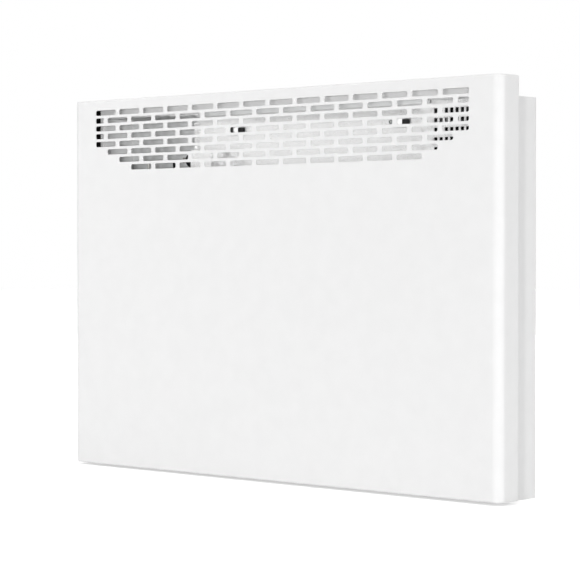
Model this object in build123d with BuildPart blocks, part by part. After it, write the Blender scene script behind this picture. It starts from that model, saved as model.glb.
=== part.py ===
from build123d import *
import math
import os

# Wall panel convector heater, in millimetres.
# X runs along the width, the front looks towards -Y, Z is up.
# The origin is at the middle of the footprint, on the surface the heater stands on.

# ---------------------------------------------------------------- driving dimensions
# whole heater
overall_width = 640.0
overall_height = 430.0
overall_depth = 86.0
cover_depth = 32.0            # front cover, front face to the back of its lips
side_step = 19.0              # the cover stands this far past the casing at each side
top_step = 19.0               # and this far above it
ground_gap = 2.5              # the cover's lower edge above the casing's underside

# sheet metal
cover_sheet = 1.0
casing_sheet = 1.0
panel_sheet = 1.0
reflector_sheet = 0.6
inner_sheet = 1.0
corner_radius = 10.0          # rolled upright corners of the cover
fold_radius = 2.0             # pressed folds of the cover
casing_bend = 3.0             # rear bends of the casing
lip_reveal = 1.0              # the lips stop this far outside the casing's opening
bottom_lip = 10.5
flange_width = 10.0           # front flanges of the casing
flange_relief = 8.0           # corner notch between two flanges
bottom_flange = 12.0
rear_return = 12.0            # inward rim round the back of the casing
wall_recess = 8.0             # the back panel lies this far in from the wall
panel_hem = 6.0               # folded edge of the back panel

# outlet grille
grille_margin = 39.5
slot_height = 6.0
slot_pitch = 40.5
slot_bridge = 6.0
row_pitch = 9.2
row_count = 8
stepped_rows = 3              # lower rows that draw in by half a slot each
first_row_drop = 15.0         # middle of the top row below the top edge

# inlet slots under the casing
inlet_length = 58.0
inlet_width = 9.0
inlet_pitch = 70.0
inlet_row_pitch = 18.0

# convection duct
compartment_width = 110.0     # control end, from the duct's side to the casing's inner wall
duct_bottom = 26.0
duct_top_drop = 96.0          # top of the duct below the top edge of the cover
baffle_depth = 14.0           # inner baffle behind the face of the cover
baffle_hem = 6.0
bracket_flange = 12.0
reflector_bottom = 120.0
reflector_top_drop = 26.0
reflector_return = 4.0

# heating element
element_height = 88.0
element_setback = 45.0        # element axis behind the front face
element_end_gap = 18.0        # fins to bracket
sheath_radius = 4.0
hub_radius = 8.0
hub_sides = 8
fin_reach = 33.0              # hub centre to the tip of an arm
fin_thickness = 2.2
fin_splay = 34.0              # degrees of each arm from upright
fin_pitch = 36.0
fin_gap = 3.0
bush_width = 13.0
bush_flange_width = 20.0
bush_flange = 3.0
bush_inside = 6.0
sheath_overhang = 14.0
terminal_length = 11.0
terminal_width = 4.0

# push-on tabs and wire
tab_width = 6.3
tab_thickness = 0.8
tab_length = 8.0
wire_radius = 1.3
wire_sides = 6
wire_bend = 12.0
wire_hole = 6.0               # square pass-hole for a wire
wire_rise = 12.0              # the lead between cut-out and switch runs this high over the duct

# hanger clips and wall slots of the back panel
hanger_spacing = 248.0
hanger_drop = 37.0            # hook slots below the top edge of the cover
hook_slot_length = 10.0
hook_slot_width = 6.0
fixing_height = 44.0
fixing_slot_length = 16.0
fixing_slot_width = 6.0
clip_height = 10.0
clip_depth = 3.6
clip_leg = 1.6
clip_block = 8.5
clip_block_drop = 3.0         # the block's top lies this far below the leg's
clip_bar = 1.5
clip_slack = 0.5              # clip legs stand this far off the hook slot's ends
clip_bevel = 0.5
window_border = 2.0           # reflector window round a clip

# control compartment
housing_height = 160.0
housing_flange = 15.0
plate_lap = 3.0               # the vent plate lies this far over the flange
vent_length = 6.5
vent_width = 4.2
vent_pitch_x = 7.05
vent_pitch_z = 10.0
vent_rows = 6
vent_border = 3.9             # plate edge to the first column of vents
vent_top_drop = 32.0          # top row of vents below the top edge of the cover

# controls on top of the casing
control_setback = 60.0        # controls behind the front face
knob_inset = 50.0             # knob axis in from the heater's side
switch_inset = 89.0
lamp_inset = 117.0
skirt_radius = 17.0
skirt_height = 4.0
grip_radius = 13.0
knob_height = 14.0
knob_hover = 1.0
knob_recess_radius = 9.5
knob_recess = 6.0
flute_count = 8
flute_width = 3.6
flute_depth = 1.4
spindle_radius = 3.0
spindle_flat = 0.6
spindle_cover = 2.0           # knob material above the end of the spindle
bush_neck_radius = 4.7
bush_neck_height = 5.5
nut_across_flats = 13.0
nut_thickness = 2.5
thermostat_length = 34.0
thermostat_width = 30.0
thermostat_height = 24.0
spindle_seat = 18.0           # spindle runs this deep into the thermostat
running_gap = 0.05
hole_gap = 0.3
rocker_length = 24.0
rocker_width = 16.0
rocker_tilt = 7.0             # degrees each side of level
rocker_crown = 4.6
rocker_dip = 3.2
rocker_heel = 1.5
rocker_root = 4.0
rocker_taper = 1.0
rocker_end_gap = 0.9          # swing room at the ends
rocker_side_gap = 0.4
rocker_pivot_drop = 2.0       # pivot below the casing's top face
pin_radius = 1.2
pin_length = 1.3
switch_wall = 1.6
bezel_border = 2.0
bezel_height = 2.0
switch_body_height = 22.0
switch_cavity = 9.0
switch_tab_pitch_x = 14.0
switch_tab_pitch_y = 10.0
lamp_radius = 4.5
lamp_height = 2.4
lamp_collar_radius = 6.1
lamp_collar_height = 1.0
lamp_body_width = 7.0
lamp_body_height = 15.0

# mains inlet
inlet_bush_inset = 58.0       # inlet in from the heater's side
inlet_bush_height = 36.0
inlet_bore_radius = 3.8
inlet_body = 13.0             # square body through the panel
inlet_collar_width = 18.0
inlet_collar = 2.5
inlet_body_length = 8.0
clamp_rise = 34.0
clamp_length = 30.0
clamp_width = 9.0
clamp_bar = 2.5
clamp_post = 6.0
block_length = 40.0
block_width = 20.0
block_height = 16.0
block_poles = 3
block_pole_pitch = 12.0
block_well_width = 4.0
block_well = 5.0
earth_inset = 84.0
earth_radius = 2.0
earth_length = 14.0
earth_nut_flats = 7.0
earth_nut_thickness = 3.0

# overheat cut-out
cutout_inset = 52.0           # right edge of its bracket in from the duct's left side
cutout_drop = 71.0            # middle of the bracket below the top edge of the cover
cutout_setback = 50.0
cutout_plate_width = 34.0
cutout_plate_height = 22.0
cutout_arm = 20.0             # side arm that carries the cut-out
cutout_foot = 12.0
cutout_flange_width = 20.0
cutout_flange = 2.0
cutout_radius = 7.5
cutout_body = 9.0
cutout_tab_pitch = 8.0

# seats
seat_gap = 0.3                # between pieces that are held but not clamped
inlet_gap = 0.1               # inlet bush in its panel hole

# ---------------------------------------------------------------- derived places
front_y = -overall_depth / 2
back_y = overall_depth / 2
lip_back_y = front_y + cover_depth
flange_back_y = lip_back_y + casing_sheet
casing_width = overall_width - 2 * side_step
casing_height = overall_height - top_step
inside_half_width = casing_width / 2 - casing_sheet
inside_top = casing_height - casing_sheet
lip_half_width = casing_width / 2 + lip_reveal
lip_top = casing_height + lip_reveal
lip_bottom = ground_gap + bottom_lip
panel_back_y = back_y - wall_recess
panel_front_y = panel_back_y - panel_sheet
reflector_front_y = panel_front_y - reflector_sheet
baffle_front_y = front_y + baffle_depth
baffle_back_y = baffle_front_y + inner_sheet
duct_top = overall_height - duct_top_drop
duct_side = inside_half_width - compartment_width
duct_inside = duct_side - inner_sheet
element_y = front_y + element_setback
hook_z = overall_height - hanger_drop
control_y = front_y + control_setback
knob_x = overall_width / 2 - knob_inset
switch_x = overall_width / 2 - switch_inset
lamp_x = overall_width / 2 - lamp_inset
housing_left = duct_side + seat_gap
housing_right = inside_half_width - seat_gap
housing_top = inside_top - seat_gap
housing_bottom = housing_top - housing_height
plate_left = housing_left + housing_flange
inlet_bush_x = overall_width / 2 - inlet_bush_inset
earth_x = overall_width / 2 - earth_inset


def facing(y):
    """Upright plane at depth y that looks to the front: local x is X, local y is Z."""
    return Plane.XZ.offset(-y)


def across(x):
    """Upright plane at width x that looks to +X: local x is Y, local y is Z."""
    return Plane.YZ.offset(x)


def parted(solids, *planes):
    """Solids of a folded sheet cut at each plane, from front to back: plain pieces that touch."""
    for plane in planes:
        solids = ShapeList(half for solid in solids for half in solid.split(plane, Keep.ALL))
    return solids.sort_by(Axis.Y)


# ---------------------------------------------------------------- front cover
# One pressed sheet: rolled upright corners, folds above and below, lips turned in at the back,
# and the brick-pattern outlet grille punched through its face.
full_slots = round((overall_width - 2 * grille_margin + slot_bridge) / slot_pitch)
slot_length = slot_pitch - slot_bridge
half_slot_length = (slot_length - slot_bridge) / 2
first_row_z = overall_height - first_row_drop


def cover_block(inset):
    """Block of the cover's outline, drawn in by inset on every side: plan cut by side view."""
    with BuildPart() as block:
        with BuildSketch(Plane.XY.offset(ground_gap + inset)) as plan:
            with Locations((0, front_y + cover_depth / 2)):
                Rectangle(overall_width - 2 * inset, cover_depth - 2 * inset)
            fillet(plan.vertices().group_by(Axis.Y)[0], corner_radius - inset)
            fillet(plan.vertices().group_by(Axis.Y)[-1], fold_radius - inset)
        extrude(amount=overall_height - ground_gap - 2 * inset)
        with BuildSketch(Plane.YZ) as side_view:
            with Locations((front_y + cover_depth / 2, (ground_gap + overall_height) / 2)):
                Rectangle(cover_depth - 2 * inset, overall_height - ground_gap - 2 * inset)
            fillet(side_view.vertices(), fold_radius - inset)
        extrude(amount=overall_width / 2, both=True, mode=Mode.INTERSECT)
    return block.part


def grille_row(row):
    """(x, length) of each slot in one row, counted from the top."""
    steps = max(0, row + 1 - (row_count - stepped_rows))
    count = full_slots - steps if steps else full_slots - row % 2
    slots = [((i - (count - 1) / 2) * slot_pitch, slot_length) for i in range(count)]
    if row % 2 and not steps:
        end = (full_slots * slot_pitch - slot_bridge - half_slot_length) / 2
        slots += [(-end, half_slot_length), (end, half_slot_length)]
    return slots


cover_outside = cover_block(0)
cover_inside = cover_block(cover_sheet)

with BuildPart() as cover_pressing:
    add(cover_outside)
    add(cover_inside, mode=Mode.SUBTRACT)
    with BuildSketch(facing(lip_back_y)):
        with Locations((0, (lip_bottom + lip_top) / 2)):
            Rectangle(2 * lip_half_width, lip_top - lip_bottom)
    extrude(amount=cover_sheet, mode=Mode.SUBTRACT)
    with BuildSketch(facing(front_y + cover_sheet)):
        for row in range(row_count):
            for slot_x, length in grille_row(row):
                with Locations((slot_x, first_row_z - row * row_pitch)):
                    Rectangle(length, slot_height)
    extrude(amount=cover_sheet, mode=Mode.SUBTRACT)
cover_face, cover_rear = parted(cover_pressing.solids(), facing(front_y + cover_sheet))
front_cover = Compound([
    cover_face,
    *parted(cover_rear.solids(), across(-lip_half_width), across(lip_half_width)),
])
front_cover.label = "front_cover"

# ---------------------------------------------------------------- rear casing
# Wrapper sheet: two sides, top and bottom, flanges in front, a narrow rim turned in at the back.
switch_opening_length = rocker_length + 2 * rocker_end_gap
switch_opening_width = rocker_width + 2 * rocker_side_gap
switch_body_length = switch_opening_length + 2 * switch_wall
switch_body_width = switch_opening_width + 2 * switch_wall
inlet_columns = int((casing_width - inlet_length) / inlet_pitch) + 1
inlet_y = (lip_back_y + panel_front_y) / 2
flange_reach = flange_width + casing_sheet / 2


def casing_block(inset):
    """Block of the casing's outline behind the lips, drawn in by inset, open to the front."""
    depth = back_y - lip_back_y - inset
    with BuildPart() as block:
        with BuildSketch(Plane.XY.offset(inset)) as plan:
            with Locations((0, lip_back_y + depth / 2)):
                Rectangle(casing_width - 2 * inset, depth)
            fillet(plan.vertices().group_by(Axis.Y)[-1], casing_bend - inset)
        extrude(amount=casing_height - 2 * inset)
        with BuildSketch(Plane.YZ) as side_view:
            with Locations((lip_back_y + depth / 2, casing_height / 2)):
                Rectangle(depth, casing_height - 2 * inset)
            fillet(side_view.vertices().group_by(Axis.X)[-1], casing_bend - inset)
        extrude(amount=casing_width / 2, both=True, mode=Mode.INTERSECT)
    return block.part


casing_outside = casing_block(0)
casing_inside = casing_block(casing_sheet)

with BuildPart() as casing_wrapper:
    add(casing_outside)
    add(casing_inside, mode=Mode.SUBTRACT)
    with BuildSketch(facing(back_y)):
        with Locations((0, casing_height / 2)):
            Rectangle(casing_width - 2 * rear_return, casing_height - 2 * rear_return)
    extrude(amount=casing_sheet, mode=Mode.SUBTRACT)
    with BuildSketch(facing(flange_back_y)):
        for side in (-1, 1):
            flange_x = side * (casing_width / 2 + flange_width - flange_reach / 2)
            with Locations((flange_x, casing_height / 2)):
                Rectangle(flange_reach, casing_height - 2 * flange_relief)
        with Locations((0, casing_height + flange_width - flange_reach / 2)):
            Rectangle(casing_width - 2 * flange_relief, flange_reach)
        with Locations((0, bottom_flange / 2)):
            Rectangle(casing_width - 2 * flange_relief, bottom_flange)
    extrude(amount=casing_sheet)
    with BuildSketch(Plane.XY.offset(casing_height)):
        with Locations((knob_x, control_y)):
            Circle(bush_neck_radius + hole_gap)
        with Locations((switch_x, control_y)):
            Rectangle(switch_body_length + 2 * hole_gap, switch_body_width + 2 * hole_gap)
        with Locations((lamp_x, control_y)):
            Rectangle(lamp_body_width + 2 * hole_gap, lamp_body_width + 2 * hole_gap)
    extrude(amount=-casing_sheet, mode=Mode.SUBTRACT)
    with BuildSketch():
        with Locations((0, inlet_y)):
            with GridLocations(inlet_pitch, inlet_row_pitch, inlet_columns, 2):
                Rectangle(inlet_length, inlet_width)
    extrude(amount=casing_sheet, mode=Mode.SUBTRACT)
casing_front, casing_walls, casing_rim = parted(
    casing_wrapper.solids(), facing(flange_back_y), facing(back_y - casing_bend))
rim_x = casing_width / 2 - rear_return
rear_casing = Compound([
    *parted(casing_front.solids(), across(-inside_half_width), across(inside_half_width)),
    *parted(casing_walls.solids(), across(-inside_half_width), across(inside_half_width)),
    *parted(casing_rim.solids(), across(-rim_x), across(rim_x)),
])
rear_casing.label = "rear_casing"

# ---------------------------------------------------------------- back panel
# Galvanised sheet between the walls of the casing, its edges folded to the rear.
panel_width = 2 * (inside_half_width - seat_gap)
panel_bottom = casing_sheet + seat_gap
panel_top = inside_top - seat_gap
panel_mid_z = (panel_bottom + panel_top) / 2
inlet_hole_half = inlet_body / 2 + inlet_gap
with BuildPart() as panel_tray:
    with BuildSketch(facing(panel_front_y + panel_hem)):
        with Locations((0, panel_mid_z)):
            Rectangle(panel_width, panel_top - panel_bottom)
    extrude(amount=panel_hem)
    offset(amount=-panel_sheet, openings=panel_tray.faces().sort_by(Axis.Y)[-1], kind=Kind.INTERSECTION)
    with BuildSketch(facing(panel_back_y)):
        for side in (-1, 1):
            with Locations((side * hanger_spacing / 2, hook_z)):
                SlotOverall(hook_slot_length, hook_slot_width)
            with Locations((side * hanger_spacing / 2, fixing_height)):
                SlotOverall(fixing_slot_length, fixing_slot_width)
        with Locations((inlet_bush_x, inlet_bush_height)):
            Rectangle(2 * inlet_hole_half, 2 * inlet_hole_half)
    extrude(amount=panel_sheet, mode=Mode.SUBTRACT)
panel_plate, panel_hems = parted(panel_tray.solids(), facing(panel_back_y))
hem_x = panel_width / 2 - panel_sheet
back_panel = Compound([
    *parted(panel_plate.solids(),
            across(inlet_bush_x - inlet_hole_half), across(inlet_bush_x + inlet_hole_half)),
    *parted(panel_hems.solids(), across(-hem_x), across(hem_x)),
])
back_panel.label = "back_panel"

# ---------------------------------------------------------------- rear reflector
# Bright sheet flat against the back panel with a window at each clip; above the duct its
# side edges are turned forward.
reflector_top = overall_height - reflector_top_drop
reflector_half = duct_inside - seat_gap
clip_left = hook_slot_length / 2 + clip_slack + clip_leg
clip_right = hook_slot_length / 2 + clip_slack + clip_block
clip_shift = (clip_right - clip_left) / 2
with BuildPart() as reflector_blank:
    with BuildSketch(facing(panel_front_y)):
        with Locations((0, (reflector_bottom + reflector_top) / 2)):
            Rectangle(2 * reflector_half, reflector_top - reflector_bottom)
        for side in (-1, 1):
            with Locations((side * hanger_spacing / 2 + clip_shift, hook_z)):
                Rectangle(clip_left + clip_right + 2 * window_border, clip_height + 2 * window_border,
                          mode=Mode.SUBTRACT)
    extrude(amount=reflector_sheet)
    with BuildSketch(facing(panel_front_y)):
        for side in (-1, 1):
            with Locations((side * (reflector_half - reflector_sheet / 2), (duct_top + reflector_top) / 2)):
                Rectangle(reflector_sheet, reflector_top - duct_top)
    extrude(amount=reflector_sheet + reflector_return)
rear_reflector = Compound(parted(reflector_blank.solids(), facing(reflector_front_y)))
rear_reflector.label = "rear_reflector"

# ---------------------------------------------------------------- hanger clips
# A moulded clip round each hook slot: tall thin leg on the left, low block on the right, and
# a bar below that joins them.
with BuildPart() as hanger_clips:
    with BuildSketch(facing(panel_front_y)):
        for side in (-1, 1):
            slot_x = side * hanger_spacing / 2
            with Locations((slot_x + clip_shift, hook_z)):
                Rectangle(clip_left + clip_right, clip_height)
            with Locations((slot_x, hook_z + clip_bar)):
                Rectangle(hook_slot_length + 2 * clip_slack, clip_height, mode=Mode.SUBTRACT)
            with Locations((slot_x + clip_right - clip_block / 2, hook_z + clip_height - clip_block_drop)):
                Rectangle(clip_block, clip_height, mode=Mode.SUBTRACT)
    extrude(amount=clip_depth)
    chamfer(hanger_clips.faces().group_by(Axis.Y)[0].edges().filter_by(Axis.Z), clip_bevel)
hanger_clips.part.label = "hanger_clips"

# ---------------------------------------------------------------- control housing
# Folded sheet compartment on the right: left wall, floor, and a front flange for the vent plate.
housing_depth = panel_front_y - flange_back_y
housing_width = housing_right - housing_left
housing_mid_z = housing_bottom + housing_height / 2
cutout_wire_z = duct_top + wire_rise
cutout_wire_y = control_y + switch_tab_pitch_y / 2
with BuildPart() as control_housing:
    with BuildSketch(facing(panel_front_y)):
        with Locations((housing_left + inner_sheet / 2, housing_mid_z)):
            Rectangle(inner_sheet, housing_height)
        with Locations(((housing_left + housing_right) / 2, housing_bottom + inner_sheet / 2)):
            Rectangle(housing_width, inner_sheet)
    extrude(amount=housing_depth)
    with BuildSketch(facing(flange_back_y + inner_sheet)):
        flange_span = housing_flange + plate_lap
        with Locations((housing_left + flange_span / 2, housing_mid_z)):
            Rectangle(flange_span, housing_height)
    extrude(amount=inner_sheet)
    with BuildSketch(Plane.XY.offset(housing_bottom)):
        with Locations((knob_x, control_y)):
            Rectangle(wire_hole, wire_hole)
    extrude(amount=inner_sheet, mode=Mode.SUBTRACT)
    with BuildSketch(across(housing_left)):
        with Locations((cutout_wire_y, cutout_wire_z)):
            Rectangle(wire_hole, wire_hole)
    extrude(amount=inner_sheet, mode=Mode.SUBTRACT)
control_housing.part.label = "control_housing"

# ---------------------------------------------------------------- vent plate
# Front plate of the housing, punched with rows of small oblong vents.
vent_first_x = plate_left + vent_border + vent_width / 2
vent_columns = int((housing_right - vent_border - vent_width / 2 - vent_first_x) / vent_pitch_x) + 1
vent_mid_x = vent_first_x + (vent_columns - 1) * vent_pitch_x / 2
vent_mid_z = overall_height - vent_top_drop - (vent_rows - 1) * vent_pitch_z / 2
with BuildPart() as vent_plate:
    with BuildSketch(facing(flange_back_y)):
        with Locations(((plate_left + housing_right) / 2, housing_mid_z)):
            Rectangle(housing_right - plate_left, housing_height)
        with Locations((vent_mid_x, vent_mid_z)):
            with GridLocations(vent_pitch_x, vent_pitch_z, vent_columns, vent_rows):
                Rectangle(vent_width, vent_length, mode=Mode.SUBTRACT)
    extrude(amount=casing_sheet)
vent_plate.part.label = "vent_plate"

# ---------------------------------------------------------------- front baffle
# Inner sheet that keeps the face cool and guides the air, its upper and lower edges turned forward.
with BuildPart() as front_baffle:
    with BuildSketch(facing(baffle_back_y)):
        with Locations((0, (duct_bottom + duct_top) / 2)):
            Rectangle(2 * duct_side, duct_top - duct_bottom)
    extrude(amount=inner_sheet)
    with BuildSketch(facing(baffle_back_y)):
        for edge_z in (duct_bottom + inner_sheet / 2, duct_top - inner_sheet / 2):
            with Locations((0, edge_z)):
                Rectangle(2 * duct_side, inner_sheet)
    extrude(amount=inner_sheet + baffle_hem)
front_baffle.part.label = "front_baffle"

# ---------------------------------------------------------------- element brackets
# Folded end plates of the duct: front flange on the baffle, rear flange on the reflector.
element_brackets = []
for side, name in ((-1, "element_bracket_left"), (1, "element_bracket_right")):
    with BuildPart() as bracket:
        with BuildSketch(Plane.XY.offset(duct_bottom)):
            with Locations((side * (duct_side - inner_sheet / 2), (baffle_back_y + reflector_front_y) / 2)):
                Rectangle(inner_sheet, reflector_front_y - baffle_back_y)
            for flange_y in (baffle_back_y + inner_sheet / 2, reflector_front_y - inner_sheet / 2):
                with Locations((side * (duct_side - bracket_flange / 2), flange_y)):
                    Rectangle(bracket_flange, inner_sheet)
        extrude(amount=duct_top - duct_bottom)
        with BuildSketch(across(side * duct_side)):
            with Locations((element_y, element_height)):
                Rectangle(bush_width + 2 * running_gap, bush_width + 2 * running_gap)
        extrude(amount=-side * inner_sheet, mode=Mode.SUBTRACT)
    bracket.part.label = name
    element_brackets.append(bracket.part)

# ---------------------------------------------------------------- heating element
# Finned aluminium body pressed on a steel sheath, carried in ceramic bushes.
fin_body_half = duct_inside - element_end_gap
fin_sections = int((2 * fin_body_half + fin_gap) / fin_pitch)
fin_first_x = -(fin_sections * fin_pitch - fin_gap) / 2
arm_angles = [90 - fin_splay, 90 + fin_splay, 270 - fin_splay, 270 + fin_splay]
with BuildPart() as element_fins:
    with BuildSketch(across(fin_first_x)):
        for angle in arm_angles:
            with Locations(Location((element_y, element_height), angle)):
                Rectangle(fin_reach, fin_thickness, align=(Align.MIN, Align.CENTER))
    extrude(amount=-2 * fin_first_x)
    for gap in range(1, fin_sections):
        with BuildSketch(across(fin_first_x + gap * fin_pitch)):
            with Locations((element_y, element_height)):
                Rectangle(2 * fin_reach, 2 * fin_reach)
        extrude(amount=-fin_gap, mode=Mode.SUBTRACT)
    with BuildSketch(across(fin_first_x)):
        with Locations((element_y, element_height)):
            RegularPolygon(hub_radius, hub_sides)
    extrude(amount=-2 * fin_first_x)
    with BuildSketch(across(fin_first_x)):
        with Locations((element_y, element_height)):
            Circle(sheath_radius + running_gap)
    extrude(amount=-2 * fin_first_x, mode=Mode.SUBTRACT)
element_fins.part.label = "element_fins"

sheath_end_x = duct_side + bush_flange + sheath_overhang
with BuildPart() as element_sheath:
    with BuildSketch(across(0)):
        with Locations((element_y, element_height)):
            Circle(sheath_radius)
    extrude(amount=sheath_end_x, both=True)
element_sheath.part.label = "element_sheath"

with BuildPart() as element_bushes:
    for side in (-1, 1):
        with BuildSketch(across(side * (duct_inside - bush_inside))):
            with Locations((element_y, element_height)):
                Rectangle(bush_width, bush_width)
        extrude(amount=side * (bush_inside + inner_sheet))
        with BuildSketch(across(side * duct_side)):
            with Locations((element_y, element_height)):
                Rectangle(bush_flange_width, bush_flange_width)
        extrude(amount=side * bush_flange)
        with BuildSketch(across(side * (duct_side + bush_flange))):
            with Locations((element_y, element_height)):
                Circle(sheath_radius + running_gap)
        extrude(amount=-side * (bush_flange + inner_sheet + bush_inside), mode=Mode.SUBTRACT)
element_bushes.part.label = "element_bushes"

terminal_end_x = sheath_end_x + terminal_length
with BuildPart() as element_terminals:
    for side in (-1, 1):
        with BuildSketch(across(side * sheath_end_x)):
            with Locations((element_y, element_height)):
                Rectangle(terminal_width, terminal_width)
        extrude(amount=side * terminal_length)
        with BuildSketch(across(side * terminal_end_x)):
            with Locations((element_y, element_height)):
                Rectangle(tab_thickness, tab_width)
        extrude(amount=side * tab_length)
element_terminals.part.label = "element_terminals"

# ---------------------------------------------------------------- overheat cut-out
# Folded bracket on the reflector: foot, arm, face plate, and a side arm with the cut-out on it.
plate_right = cutout_inset - duct_side
plate_edge = plate_right - cutout_plate_width
cutout_z = overall_height - cutout_drop
cutout_y = front_y + cutout_setback
cutout_axis_y = cutout_y + cutout_arm / 2
with BuildPart() as bracket_strip:
    with BuildSketch(Plane.XY.offset(cutout_z - cutout_plate_height / 2)):
        with Locations((plate_right + cutout_foot / 2, reflector_front_y - inner_sheet / 2)):
            Rectangle(cutout_foot, inner_sheet)
        with Locations((plate_right - inner_sheet / 2, (cutout_y + reflector_front_y) / 2)):
            Rectangle(inner_sheet, reflector_front_y - cutout_y)
        with Locations(((plate_right + plate_edge) / 2, cutout_y + inner_sheet / 2)):
            Rectangle(cutout_plate_width, inner_sheet)
        with Locations((plate_edge + inner_sheet / 2, cutout_axis_y)):
            Rectangle(inner_sheet, cutout_arm)
    extrude(amount=cutout_plate_height)
cutout_bracket = Compound(parted(
    bracket_strip.solids(), facing(cutout_y + inner_sheet), facing(reflector_front_y - inner_sheet)))
cutout_bracket.label = "cutout_bracket"

with BuildPart() as thermal_cutout:
    with BuildSketch(across(plate_edge)):
        with Locations((cutout_axis_y, cutout_z)):
            Rectangle(cutout_arm, cutout_flange_width)
    extrude(amount=-cutout_flange)
    with BuildSketch(across(plate_edge - cutout_flange)):
        with Locations((cutout_axis_y, cutout_z)):
            Circle(cutout_radius)
    extrude(amount=-cutout_body)
thermal_cutout.part.label = "thermal_cutout"

cutout_back_x = plate_edge - cutout_flange - cutout_body
cutout_tab_x = cutout_back_x - tab_length
cutout_tab_ys = (cutout_axis_y - cutout_tab_pitch / 2, cutout_axis_y + cutout_tab_pitch / 2)
with BuildPart() as cutout_tabs:
    with BuildSketch(across(cutout_back_x)):
        for tab_y in cutout_tab_ys:
            with Locations((tab_y, cutout_z)):
                Rectangle(tab_thickness, tab_width)
    extrude(amount=-tab_length)
cutout_tabs.part.label = "cutout_tabs"

# ---------------------------------------------------------------- room thermostat and its knob
thermostat_bottom = inside_top - thermostat_height
spindle_bottom = inside_top - spindle_seat
knob_bottom = casing_height + knob_hover
knob_top = knob_bottom + knob_height
spindle_top = knob_top - spindle_cover
bush_top = casing_height + bush_neck_height
with BuildPart() as thermostat_body:
    with BuildSketch(Plane.XY.offset(thermostat_bottom)):
        with Locations((knob_x, control_y)):
            Rectangle(thermostat_length, thermostat_width)
    extrude(amount=thermostat_height)
    with BuildSketch(Plane.XY.offset(inside_top)):
        with Locations((knob_x, control_y)):
            Circle(bush_neck_radius)
    extrude(amount=bush_top - inside_top)
    with BuildSketch(Plane.XY.offset(bush_top)):
        with Locations((knob_x, control_y)):
            Circle(spindle_radius + running_gap)
    extrude(amount=spindle_bottom - seat_gap - bush_top, mode=Mode.SUBTRACT)
thermostat_body.part.label = "thermostat_body"

with BuildPart() as thermostat_nut:
    with BuildSketch(Plane.XY.offset(casing_height)):
        with Locations((knob_x, control_y)):
            RegularPolygon(nut_across_flats / 2, 6, major_radius=False)
            Circle(bush_neck_radius + running_gap, mode=Mode.SUBTRACT)
    extrude(amount=nut_thickness)
thermostat_nut.part.label = "thermostat_nut"

flat_bottom = knob_bottom + knob_recess
with BuildPart() as thermostat_spindle:
    with BuildSketch(Plane.XY.offset(spindle_bottom)):
        with Locations((knob_x, control_y)):
            Circle(spindle_radius)
    extrude(amount=spindle_top - spindle_bottom)
    with BuildSketch(Plane.XY.offset(flat_bottom)):
        with Locations((knob_x, control_y + spindle_radius)):
            Rectangle(2 * spindle_radius, 2 * spindle_flat)
    extrude(amount=spindle_top - flat_bottom, mode=Mode.SUBTRACT)
thermostat_spindle.part.label = "thermostat_spindle"

# Dial skirt with a fluted grip; its hollow underside clears the nut, its bore has the flat.
with BuildPart() as thermostat_knob:
    with BuildSketch(Plane.XY.offset(knob_bottom)):
        with Locations((knob_x, control_y)):
            Circle(skirt_radius)
    extrude(amount=skirt_height)
    with BuildSketch(Plane.XY.offset(knob_bottom + skirt_height)):
        with Locations((knob_x, control_y)):
            Circle(grip_radius)
    extrude(amount=knob_height - skirt_height)
    with BuildSketch(Plane.XY.offset(knob_bottom + skirt_height)):
        with Locations((knob_x, control_y)):
            with PolarLocations(grip_radius, flute_count):
                Rectangle(2 * flute_depth, flute_width)
    extrude(amount=knob_height - skirt_height, mode=Mode.SUBTRACT)
    with BuildSketch(Plane.XY.offset(knob_bottom)):
        with Locations((knob_x, control_y)):
            Circle(knob_recess_radius)
    extrude(amount=knob_recess, mode=Mode.SUBTRACT)
    with BuildSketch(Plane.XY.offset(flat_bottom)):
        with Locations((knob_x, control_y)):
            Circle(spindle_radius + running_gap)
        with Locations((knob_x, control_y + spindle_radius + running_gap)):
            Rectangle(2 * spindle_radius, 2 * spindle_flat, mode=Mode.SUBTRACT)
    extrude(amount=spindle_top + running_gap - flat_bottom, mode=Mode.SUBTRACT)
thermostat_knob.part.label = "thermostat_knob"

# ---------------------------------------------------------------- rocker switch
# Moulded frame through the casing's top, and a rocker on two pins, tipped to its off side.
bezel_top = casing_height + bezel_height
pivot_z = casing_height - rocker_pivot_drop
with BuildPart() as switch_frame:
    with BuildSketch(Plane.XY.offset(casing_height)):
        with Locations((switch_x, control_y)):
            Rectangle(switch_body_length + 2 * bezel_border, switch_body_width + 2 * bezel_border)
    extrude(amount=bezel_height)
    chamfer(switch_frame.faces().sort_by(Axis.Z)[-1].edges(), bezel_height / 3)
    with BuildSketch(Plane.XY.offset(casing_height)):
        with Locations((switch_x, control_y)):
            Rectangle(switch_body_length, switch_body_width)
    extrude(amount=-switch_body_height)
    with BuildSketch(Plane.XY.offset(bezel_top)):
        with Locations((switch_x, control_y)):
            Rectangle(switch_opening_length, switch_opening_width)
    extrude(amount=-switch_cavity, mode=Mode.SUBTRACT)
    with BuildSketch(facing(control_y)):
        with Locations((switch_x, pivot_z)):
            Circle(pin_radius + running_gap)
    extrude(amount=switch_body_width / 2, both=True, mode=Mode.SUBTRACT)
switch_frame.part.label = "switch_frame"

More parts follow.
